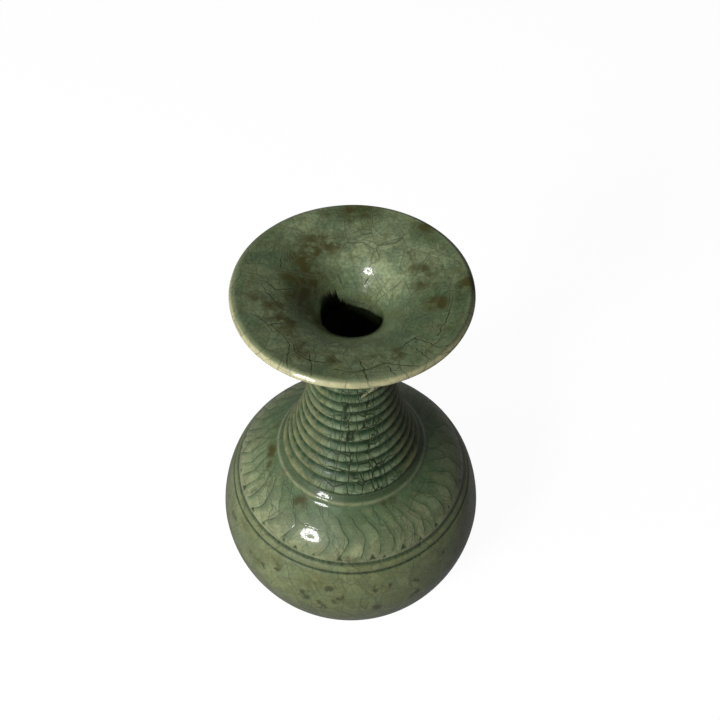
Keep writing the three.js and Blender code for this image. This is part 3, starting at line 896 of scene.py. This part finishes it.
class Shader:
    """A material's node tree, built by calls that take sockets or plain values."""

    def __init__(self, name, world=None):
        self.owner = world or bpy.data.materials.new(name)
        self.owner.use_nodes = True
        self.tree = self.owner.node_tree
        self.tree.nodes.clear()

    def add(self, kind, inputs=(), **settings):
        node = self.tree.nodes.new("ShaderNode" + kind)
        for key, value in settings.items():
            setattr(node, key, value)
        for key, value in dict(inputs).items():
            socket = node.inputs[key]
            if isinstance(value, bpy.types.NodeSocket):
                self.tree.links.new(value, socket)
            else:
                socket.default_value = (*value, 1) if socket.type == "RGBA" else value
        return node

    def attribute(self, name):
        return self.add("Attribute", attribute_name=name).outputs["Fac"]

    def math(self, operation, first, second=0.0, clamp=False):
        return self.add("Math", {0: first, 1: second}, operation=operation, use_clamp=clamp).outputs[0]

    def times(self, first, second):
        return self.math("MULTIPLY", first, second)

    def patchy(self, layer, blotch, low, high, start=0.0, end=1.0):
        """A layer that the glaze's blotches break up."""
        return self.times(self.attribute(layer), self.span(blotch, low, high, start, end))

    def span(self, value, low, high, start=0.0, end=1.0):
        """Maps low to start and high to end, smoothly and no further."""
        sockets = {0: value, 1: low, 2: high, 3: start, 4: end}
        return self.add("MapRange", sockets, interpolation_type="SMOOTHSTEP").outputs[0]

    def mix(self, share, first, second, blend="MIX"):
        sockets = {0: share, 6: first, 7: second}
        return self.add("Mix", sockets, data_type="RGBA", blend_type=blend, clamp_factor=True).outputs[2]

    def noise(self, vector, size, detail=2.0, roughness=0.5, colour=False):
        """Noise whose lumps are about size millimetres across."""
        inputs = {"Vector": vector, "Scale": 1 / (size * MM), "Detail": detail, "Roughness": roughness}
        return self.add("TexNoise", inputs).outputs["Color" if colour else "Fac"]

    def cells(self, vector, size, feature, order=1.0):
        """Cells about size millimetres across, which lie like a grid where order is low."""
        inputs = {"Vector": vector, "Scale": 1 / (size * MM), "Randomness": order}
        return self.add("TexVoronoi", inputs, feature=feature)

    def unrolled(self, place, radius, stretch):
        """The vase's side laid flat, as on an even cylinder, with its two ends behind."""
        x, y, z = self.add("SeparateXYZ", {0: place}).outputs
        turn = self.math("ARCTAN2", x, self.times(y, -1.0))
        round_it = self.times(turn, radius * MM)
        return self.add("CombineXYZ", {0: round_it, 2: self.times(z, stretch)}).outputs[0]

    def vector(self, operation, first, second):
        return self.add("VectorMath", {0: first, 1: second}, operation=operation).outputs[0]

    def scaled(self, vector, amount):
        return self.add("VectorMath", {0: vector, "Scale": amount}, operation="SCALE").outputs[0]

    def place(self):
        return self.add("TexCoord").outputs["Object"]

    def bump(self, height):
        """Normals of a relief whose height is in metres."""
        return self.add("Bump", {"Strength": 1.0, "Distance": 1.0, "Height": height}).outputs["Normal"]


def crack_net(shader, vector, size, width, order=1.0, offset=None):
    """Lines between cells, 1 on a crack and 0 off it, the glaze beside them, and each cell's colour."""
    if offset is not None:
        vector = shader.vector("ADD", vector, shader.scaled(offset, 0.2))
    edge = shader.cells(vector, size, "DISTANCE_TO_EDGE", order).outputs["Distance"]
    cell = shader.cells(vector, size, "F1", order).outputs["Color"]
    line = shader.span(edge, 0.2 * width / size, 1.1 * width / size, 1.0, 0.0)
    return line, shader.span(edge, 1.0 * width / size, 3.4 * width / size, 1.0, 0.0), cell


def warped(shader, vector, size, amount):
    lumps = shader.noise(vector, size, detail=1.5, colour=True)
    centred = shader.vector("SUBTRACT", lumps, (0.5, 0.5, 0.5))
    return shader.vector("ADD", vector, shader.scaled(centred, amount * MM))


# Colours of the glaze, from thick to thin, of what has soaked into it, and the near black of the bore's
# painted shade
LIGHT_GREEN, OLIVE = (0.2, 0.25, 0.125), (0.165, 0.19, 0.085)
POOLED, THIN = (0.026, 0.07, 0.028), (0.28, 0.32, 0.175)
COOL, BROWN, CRACK_DARK = (0.105, 0.185, 0.1), (0.082, 0.076, 0.018), (0.016, 0.032, 0.01)
LIP_THIN_AND_LIT, COLLAR_THIN, BAND_THICK = (0.84, 0.79, 0.45), (0.4, 0.42, 0.23), (0.07, 0.112, 0.05)
CREST_WARM, CREST_COOL = (0.34, 0.352, 0.175), (0.34, 0.44, 0.255)
LOBE_THICK, LINE_THICK, NOTCH_THICK = (0.105, 0.18, 0.08), (0.045, 0.085, 0.038), (0.04, 0.072, 0.032)
DAB_TONE, CREAM, BORE_SHADE_BLACK = (0.055, 0.068, 0.024), (0.5, 0.46, 0.28), (0.006, 0.006, 0.003)
CLAY, CLAY_DARK, CLAY_PALE = (0.28, 0.15, 0.075), (0.12, 0.06, 0.03), (0.4, 0.26, 0.15)
BURNT, SLIP_TONE, SLIP_DARK = (0.2, 0.08, 0.03), (0.48, 0.41, 0.28), (0.36, 0.3, 0.2)
# Sizes of the glaze's mottling, blotches and specks
BROAD, MID, FINE_GRAIN, BLOTCH, DRIFT, SPECK = 26.0, 6.0, 1.1, 5.0, 9.0, 2.6


def glaze(name, look):
    """Celadon glaze: mottled green, darker where it pools and paler on crests, with cracks and stains, and
    painted near black as shade down the bore.
    """
    s = Shader(name)
    place = s.place()
    broad, mid, fine = (s.noise(place, size, detail=3.0) for size in (BROAD, MID, FINE_GRAIN))
    blotch = s.noise(place, BLOTCH, detail=6.0, roughness=0.65)
    shade = s.math("ADD", s.attribute("shade"), s.span(broad, 0.35, 0.65, -0.16, 0.16))
    drift = s.noise(s.vector("ADD", place, (0.3, 0.1, 0.2)), DRIFT, detail=3.0)
    tone = skin(s, look["skin"], look["mottle"], shade, mid, drift)
    if "below" in look:
        below = skin(s, look["below"], look["mottle"], shade, mid, drift)
        tone = s.mix(s.attribute("below"), tone, below)
    cracks, halo, cell = glaze_cracks(s, place, look)
    for part, amount in ((cell, 0.12), (fine, look["grain"])):
        tone = s.mix(1.0, tone, s.span(part, 0.25, 0.75, 1 - amount, 1 + amount), "MULTIPLY")
    pool = s.attribute("pool")
    thick = s.times(s.span(pool, 0.02, look["full_pool"]), look["pool_share"])
    tone = s.mix(thick, tone, look["pooled"])
    thin = s.span(s.times(pool, -1.0), 0.05, 0.9)
    tone = s.mix(s.times(thin, look["thin_share"]), tone, THIN)
    for layer in look["layers"]:
        tone = layer(s, tone, place, blotch)
    stain = s.patchy("stain", blotch, 0.36, 0.6, 0.3)
    tone = s.mix(s.span(stain, 0.1, 0.8, 0.0, 0.92), tone, BROWN)
    tone = s.mix(s.times(halo, look["halo"]), tone, THIN)
    tone = s.mix(cracks, tone, CRACK_DARK)
    away = s.cells(place, SPECK, "F1").outputs["Distance"]
    speck = s.times(s.span(away, 0.05, 0.12, 1.0, 0.0), s.span(mid, 0.5, 0.62))
    tone = s.mix(s.times(speck, 0.6), tone, CRACK_DARK)
    # Painted shade: near black down the bore, where its gloss is taken away too.
    bore_shade_share = s.attribute("bore_shade")
    tone = s.mix(bore_shade_share, tone, BORE_SHADE_BLACK)
    rough = s.span(mid, 0.3, 0.8, look["rough"], look["rough"] + 0.08)
    rough = s.math("ADD", rough, s.times(stain, 0.15))
    coat = s.span(stain, 0.2, 1.0, look["coat"], look["coat"] * 0.5)
    coat = s.times(coat, s.span(bore_shade_share, 0.0, 0.6, 1.0, 0.0))
    finish(s, tone, rough, glaze_bump(s, place, cracks, speck), coat)
    return s.owner


def skin(s, colours, mottle, shade, mid, drift):
    """The glaze's colour from deep to pale, with warm and cool patches. On the mouth the shade layer that
    sets it also holds painted light and shade.
    """
    tone = s.mix(s.span(shade, 0.0, 1.0), colours["deep"], colours["pale"])
    tone = s.mix(s.span(mid, 0.5, 0.66, 0.0, mottle), tone, colours["warm"])
    return s.mix(s.span(drift, 0.48, 0.62, 0.0, mottle), tone, colours["cool"])


def glaze_cracks(s, place, look):
    """The long cracks by their measured lines, and nets of finer ones that end on coarser ones."""
    base = s.unrolled(place, *look["unrolled"]) if "unrolled" in look else place
    order, bent = look["order"], warped(s, base, look["cell"] * 0.7, look["bend"])
    size, width = look["cell"], look["width"]
    coarse, beside, cell = crack_net(s, bent, size, width, order)
    second, _, inner = crack_net(s, bent, size * 0.5, width * 0.8, order, cell)
    third, _, inmost = crack_net(s, bent, size * 0.26, width * 0.6, order, inner)
    fade = s.noise(base, size * 1.3, detail=2.0)
    coarse = s.times(coarse, s.span(fade, 0.25, 0.6, look["faint"], 1.0))
    second = s.times(second, s.span(fade, 0.38, 0.62, 0.0, look["second"]))
    third = s.times(third, s.span(fade, 0.5, 0.7, 0.0, look["third"]))
    away = s.attribute("crack")
    long_ones = s.times(s.span(away, 0.12, 0.4, 1.0, 0.0), s.span(fade, 0.2, 0.6, 0.65, 1.0))
    halo = s.math("MAXIMUM", s.span(away, 0.3, 0.9, 1.0, 0.0), s.times(beside, 0.7))
    halo = s.times(halo, s.span(fade, 0.3, 0.6, 0.3, 1.0))
    net = s.math("MAXIMUM", s.math("MAXIMUM", coarse, second), third)
    net = s.times(net, look["strength"])
    if "unrolled" in look:
        net = s.times(net, s.attribute("craze"))
    total = s.math("MAXIMUM", net, s.times(long_ones, look["long"]), clamp=True)
    both = s.vector("ADD", s.scaled(inner, 0.6), s.scaled(inmost, 0.4))
    return total, halo, s.add("SeparateXYZ", {0: both}).outputs["X"]


def glaze_bump(s, place, cracks, speck):
    """Ripples of the glaze, cracks that sink a little, and pinholes, as one height in metres."""
    ripple = s.times(s.noise(place, 11.0, detail=1.0), 0.12 * MM)
    pores = s.times(s.noise(place, 2.2, detail=1.0), 0.007 * MM)
    sunk = s.times(s.math("MAXIMUM", cracks, speck), -0.018 * MM)
    height = s.math("ADD", s.math("ADD", ripple, pores), sunk)
    return s.bump(height)


BODY_SHEEN, COAT_ROUGHNESS, GLASS_IOR = 0.3, 0.06, 1.5


def finish(s, colour, rough, normal, coat=None):
    inputs = {"Base Color": colour, "Roughness": rough, "Normal": normal, "IOR": GLASS_IOR}
    if coat is not None:
        inputs |= {"Coat Weight": coat, "Coat Normal": normal, "Specular IOR Level": BODY_SHEEN}
        inputs |= {"Coat Roughness": COAT_ROUGHNESS, "Coat IOR": GLASS_IOR}
    shader = s.add("BsdfPrincipled", inputs)
    s.add("OutputMaterial", {"Surface": shader.outputs[0]})


def lip_thin_and_lit_layer(s, tone, place, blotch):
    """The glaze runs thin and yellowish over the lip; its colour is brightened to a painted highlight,
    most on the left, towards the lamp.
    """
    return s.mix(s.patchy("lip", blotch, 0.3, 0.6, 0.6), tone, LIP_THIN_AND_LIT)


def rib_layer(s, tone, place, blotch):
    """Pale crests on the neck's ribs, partly painted light on their upper sides, and the wedge of slip
    under the mouth.
    """
    crest = s.mix(s.span(s.attribute("craze"), 0.3, 0.9), CREST_WARM, CREST_COOL)
    tone = s.mix(s.patchy("ridge", blotch, 0.34, 0.6, 0.35), tone, crest)
    return s.mix(s.span(s.attribute("cream"), 0.1, 0.7), tone, CREAM)


def collar_layer(s, tone, place, blotch):
    """Thick dark glaze between the collar and the neck, and a thin pale crest on the collar, both painted
    lighter on the left, towards the lamps, as painted light.
    """
    tone = s.mix(s.patchy("band", blotch, 0.34, 0.6, 0.7), tone, BAND_THICK)
    return s.mix(s.patchy("crest", blotch, 0.34, 0.6, 0.5, 0.9), tone, COLLAR_THIN)


# Lines of the comb across a whole lobe, and the short cracks across the cut lines
COMB_LINES, TICK_SIZE, TICK_WIDTH, TICK_STRETCH = 5.0, 2.0, 0.2, 0.15


def carved_layer(s, tone, place, blotch):
    """The lobes of the shoulder: thick glaze behind each edge, and the comb's fine lines before it."""
    turn = s.math("ARCTAN2", s.attribute("lobe_y"), s.attribute("lobe_x"))
    share = s.math("FRACT", s.math("ADD", s.math("DIVIDE", turn, 2 * math.pi), 1.0))
    carved = s.attribute("carved")
    near = s.math("MINIMUM", share, s.math("SUBTRACT", 1.0, share))
    edge = s.times(s.span(near, 0.01, 0.05, 0.72, 0.0), s.span(blotch, 0.34, 0.56, 0.15, 1.0))
    behind = s.times(s.span(share, 0.02, 0.55, 0.68, 0.0), s.span(blotch, 0.3, 0.6, 0.5, 1.0))
    comb = s.math("PINGPONG", s.times(share, COMB_LINES), 0.5)
    comb = s.times(s.span(comb, 0.02, 0.2, 0.3, 0.0), s.span(share, 0.42, 0.55))
    comb = s.times(comb, s.span(blotch, 0.4, 0.58, 0.1, 1.0))
    for part, colour in ((behind, LOBE_THICK), (comb, POOLED), (edge, POOLED)):
        tone = s.mix(s.times(part, carved), tone, colour)
    return tone


def line_layer(s, tone, place, blotch):
    """Thick dark glaze in the cut lines and notches, with painted shade in the wide line's upper half, and
    the short cracks that cross them.
    """
    groove = s.attribute("groove")
    tone = s.mix(s.times(groove, 0.8), tone, LINE_THICK)
    tone = s.mix(s.patchy("notch", blotch, 0.3, 0.6, 0.7), tone, NOTCH_THICK)
    tick = crack_net(s, s.unrolled(place, EDGE_RADIUS, TICK_STRETCH), TICK_SIZE, TICK_WIDTH)[0]
    return s.mix(s.times(s.times(tick, groove), 0.5), tone, CRACK_DARK)


def dab_layer(s, tone, place, blotch):
    """The dark dabs of the scroll on the belly."""
    dab = s.patchy("dab", blotch, 0.38, 0.58)
    return s.mix(s.span(dab, 0.12, 0.7, 0.0, 0.72), tone, DAB_TONE)


def clay_foot(name):
    """Glaze down the foot ring's sides, and bare burnt clay where it stood in the kiln."""
    s = Shader(name)
    place = s.place()
    height = s.add("SeparateXYZ", {0: place}).outputs["Z"]
    grain = s.noise(place, 0.9, detail=6.0, roughness=0.7)
    lumps = s.noise(place, 6.0, detail=4.0)
    clay = s.mix(s.span(grain, 0.35, 0.7), CLAY, CLAY_DARK)
    clay = s.mix(s.span(lumps, 0.5, 0.75, 0.0, 0.5), clay, CLAY_PALE)
    edge = s.math("ADD", height, s.times(lumps, 1.6 * MM))
    glazed = s.span(edge, 2.4 * MM, 3.0 * MM)
    green = s.mix(s.span(lumps, 0.4, 0.65), LIGHT_GREEN, OLIVE)
    tone = s.mix(glazed, clay, green)
    burnt = s.times(s.span(edge, 1.6 * MM, 2.6 * MM), s.span(edge, 2.6 * MM, 4.2 * MM, 1.0, 0.0))
    tone = s.mix(s.times(burnt, 0.7), tone, BURNT)
    rough = s.span(glazed, 0.0, 1.0, 0.85, 0.14)
    height = s.times(grain, s.span(glazed, 0.0, 1.0, 0.25 * MM, 0.02 * MM))
    finish(s, tone, rough, s.bump(height))
    return s.owner


def slip_bed(name):
    """Dry slip in the seams."""
    s = Shader(name)
    place = s.place()
    grain = s.noise(place, 0.8, detail=5.0, roughness=0.7)
    tone = s.mix(s.span(grain, 0.3, 0.7), SLIP_TONE, SLIP_DARK)
    height = s.times(grain, 0.1 * MM)
    finish(s, tone, s.span(grain, 0.3, 0.7, 0.8, 0.95), s.bump(height))
    return s.owner


MOUTH_SKIN = {
    "deep": (0.084, 0.136, 0.052), "pale": (0.35, 0.42, 0.23),
    "warm": (0.16, 0.17, 0.06), "cool": COOL,
}
NECK_SKIN = {
    "deep": (0.05, 0.1, 0.042), "pale": (0.08, 0.145, 0.062),
    "warm": (0.1, 0.12, 0.04), "cool": (0.065, 0.14, 0.078),
}
SHOULDER_SKIN = {
    "deep": (0.14, 0.218, 0.1), "pale": (0.39, 0.43, 0.235),
    "warm": (0.28, 0.28, 0.135), "cool": (0.18, 0.275, 0.155),
}
BELLY_SKIN = {
    "deep": (0.205, 0.234, 0.098), "pale": (0.315, 0.367, 0.185),
    "warm": (0.268, 0.262, 0.102), "cool": (0.205, 0.283, 0.155),
}
MOUTH_LOOK = {
    "skin": MOUTH_SKIN,
    "mottle": 0.4,
    "grain": 0.24,
    "order": 0.75,
    "pooled": POOLED,
    "full_pool": 0.9,
    "pool_share": 0.5,
    "thin_share": 0.5,
    "layers": (lip_thin_and_lit_layer,),
    "rough": 0.36,
    "coat": 0.95,
    "cell": 10.0,
    "bend": 2.2,
    "width": 0.23,
    "faint": 0.3,
    "second": 0.8,
    "third": 0.4,
    "strength": 0.5,
    "long": 0.95,
    "halo": 0.42,
}
NECK_LOOK = MOUTH_LOOK | {
    "skin": NECK_SKIN,
    "grain": 0.3,
    "full_pool": 0.6,
    "pool_share": 0.9,
    "thin_share": 0.0,
    "layers": (rib_layer,),
    "rough": 0.45,
    "coat": 0.22,
    "unrolled": (22.0, 0.6),
    "order": 0.5,
    "cell": 4.2,
    "bend": 1.1,
    "width": 0.26,
    "faint": 0.7,
    "second": 0.95,
    "third": 0.2,
    "strength": 1.0,
}
SHOULDER_LOOK = MOUTH_LOOK | {
    "skin": SHOULDER_SKIN,
    "below": BELLY_SKIN,
    "mottle": 0.3,
    "grain": 0.14,
    "order": 1.0,
    "full_pool": 0.8,
    "pool_share": 0.35,
    "thin_share": 0.6,
    "layers": (collar_layer, carved_layer, line_layer, dab_layer),
    "rough": 0.38,
    "cell": 13.0,
    "strength": 0.4,
    "long": 0.55,
    "halo": 0.15,
}
BELLY_LOOK = SHOULDER_LOOK | {"skin": BELLY_SKIN, "layers": (dab_layer,)}


# Putting the vase together


def dress(section, material, slot, *nodes):
    """Gives the vase a glazed section in the place of these solids."""
    piece = section.build()
    piece.data.materials.append(material)
    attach(piece, "root")
    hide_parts(*nodes)


dress(mouth_section(), glaze("mouth_glaze", MOUTH_LOOK), "celadon_glaze", "mouth")
dress(neck_section(), glaze("neck_glaze", NECK_LOOK), "celadon_glaze", "neck")
dress(shoulder_section(), glaze("shoulder_glaze", SHOULDER_LOOK), "celadon_glaze", "shoulder")
dress(lower_body_section(), glaze("belly_glaze", BELLY_LOOK), "celadon_glaze", "lower_body")
dress(foot_section(), clay_foot("foot_clay"), "bare_clay", "foot_ring")

slip_material = slip_bed("slip_clay")
for node in ("foot_luting", "belly_luting", "neck_luting", "mouth_luting"):
    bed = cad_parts[node]
    bed.data.materials.clear()
    bed.data.materials.append(slip_material)


# Floor, lamps and camera

STAGE_RADIUS, STAGE_ROUND, STAGE_HEIGHT, FLOOR_GAP, STAGE_SIDES = 3000.0, 500.0, 1300.0, 0.05, 96
STAGE_STEP, STAGE_ROUND_STEP = 100.0, 40.0
STAGE_GLOW, STAGE_TONE, STAGE_MIRRORED, WHITE = 0.95, 0.13, 0.08, (1.0, 1.0, 1.0)


def stage():
    """A pale floor that turns up into a low round wall."""
    corner = (STAGE_RADIUS - STAGE_ROUND, STAGE_ROUND - FLOOR_GAP)
    outline = joined(
        evenly([(0, -FLOOR_GAP), (corner[0], -FLOOR_GAP)], STAGE_STEP),
        evenly(arc(corner, STAGE_ROUND, -90, 0), STAGE_ROUND_STEP),
        evenly([(STAGE_RADIUS, STAGE_ROUND), (STAGE_RADIUS, STAGE_HEIGHT)], STAGE_STEP),
    )
    radius, height = outline[1:].T[:, :, None]
    azimuth = np.linspace(0, 360, STAGE_SIDES, endpoint=False)
    points = around(azimuth, radius, height) * MM
    ids = np.arange(points[..., 0].size).reshape(-1, STAGE_SIDES)
    low, high = ids[:-1], ids[1:]
    faces = np.stack([low, high, np.roll(high, -1, 1), np.roll(low, -1, 1)], -1).reshape(-1, 4)
    mesh = bpy.data.meshes.new("floor")
    mesh.from_pydata(points.reshape(-1, 3).tolist(), [], faces.tolist() + [ids[0].tolist()])
    mesh.shade_smooth()
    mesh.materials.append(stage_material())
    floor = placed("floor", mesh)


def stage_material():
    """White to the eye and in reflections, and still darker in the vase's shadow."""
    s = Shader("pale_floor")
    path = s.add("LightPath")
    mirrored = s.math("MAXIMUM", path.outputs["Is Glossy Ray"], path.outputs["Is Transmission Ray"])
    seen = s.math("MAXIMUM", path.outputs["Is Camera Ray"], s.times(mirrored, STAGE_MIRRORED))
    paint = s.add("BsdfDiffuse", {"Color": [STAGE_TONE] * 3})
    glow = s.add("Emission", {"Color": WHITE, "Strength": s.times(seen, STAGE_GLOW)})
    both = s.add("AddShader", {0: paint.outputs[0], 1: glow.outputs[0]})
    s.add("OutputMaterial", {"Surface": both.outputs[0]})
    return s.owner


# The world's grey, and its share that reflections show
AMBIENT, AMBIENT_MIRRORED = 0.13, 0.4
TARGET = Vector((0, 0, 110)) * MM


def ambient():
    """A plain grey world, dimmer in reflections."""
    world = bpy.data.worlds.new("studio")
    bpy.context.scene.world = world
    s = Shader("studio", world)
    mirrored = s.add("LightPath").outputs["Is Glossy Ray"]
    strength = s.span(mirrored, 0.0, 1.0, 1.0, AMBIENT_MIRRORED)
    background = s.add("Background", {"Color": [AMBIENT] * 3, "Strength": strength})
    s.add("OutputWorld", {"Surface": background.outputs[0]})


def area_lamp(name, direction, distance, size, glow, offset=(0, 0)):
    """A round lamp that faces the vase. Its glow is the radiance of its face."""
    lamp = bpy.data.lights.new(name, "AREA")
    lamp.shape, lamp.size = "DISK", size * MM
    lamp.energy = glow * math.pi * math.pi * (size * MM / 2) ** 2
    holder = placed(name, lamp)
    away = Vector(direction).normalized()
    turn = away.to_track_quat("Z", "Y")
    shift = turn @ Vector((offset[0] * MM, offset[1] * MM, 0))
    holder.location = TARGET + away * distance * MM + shift
    holder.rotation_mode = "QUATERNION"
    holder.rotation_quaternion = turn
    holder.visible_camera = False
    return holder


RING_LAMPS, RING_RADIUS = 14, 92.6
RING_LAMP = {"direction": (-0.50, -0.67, 0.55), "distance": 1000.0, "size": 85.0, "glow": 21.5}
SOFT_LAMP = {"direction": (-0.93, -0.25, 0.32), "distance": 1500.0, "size": 1500.0, "glow": 1.25}


def lamps():
    """A ring of small lamps in front on the left, and a broad soft one on the left."""
    for index in range(RING_LAMPS):
        angle = 2 * math.pi * index / RING_LAMPS
        offset = (RING_RADIUS * math.cos(angle), RING_RADIUS * math.sin(angle))
        area_lamp(f"ring_lamp_{index}", **RING_LAMP, offset=offset)
    area_lamp("soft_lamp", **SOFT_LAMP).visible_glossy = False


CAMERA_PLACE = Vector((0.0, -222.9, 438.8))
CAMERA_PITCH, CAMERA_YAW, CAMERA_ROLL = 51.38, -0.85, 1.05
CAMERA_LENS, CAMERA_SENSOR, CAMERA_NEAR, CAMERA_FAR = 44.2, 36.0, 10.0, 50000.0


def camera():
    """The photograph's own view, worked out from the vase's rings in it."""
    data = bpy.data.cameras.new("view")
    data.lens, data.sensor_width = CAMERA_LENS, CAMERA_SENSOR
    data.clip_start, data.clip_end = CAMERA_NEAR * MM, CAMERA_FAR * MM
    holder = placed("view", data)
    turn = Matrix.Rotation(math.radians(CAMERA_YAW), 4, "Z")
    turn @= Matrix.Rotation(math.radians(90 - CAMERA_PITCH), 4, "X")
    turn @= Matrix.Rotation(math.radians(CAMERA_ROLL), 4, "Z")
    holder.matrix_world = Matrix.Translation(CAMERA_PLACE * MM) @ turn
    bpy.context.scene.camera = holder


stage()
ambient()
lamps()
camera()
bpy.context.scene.view_settings.view_transform = "Standard"
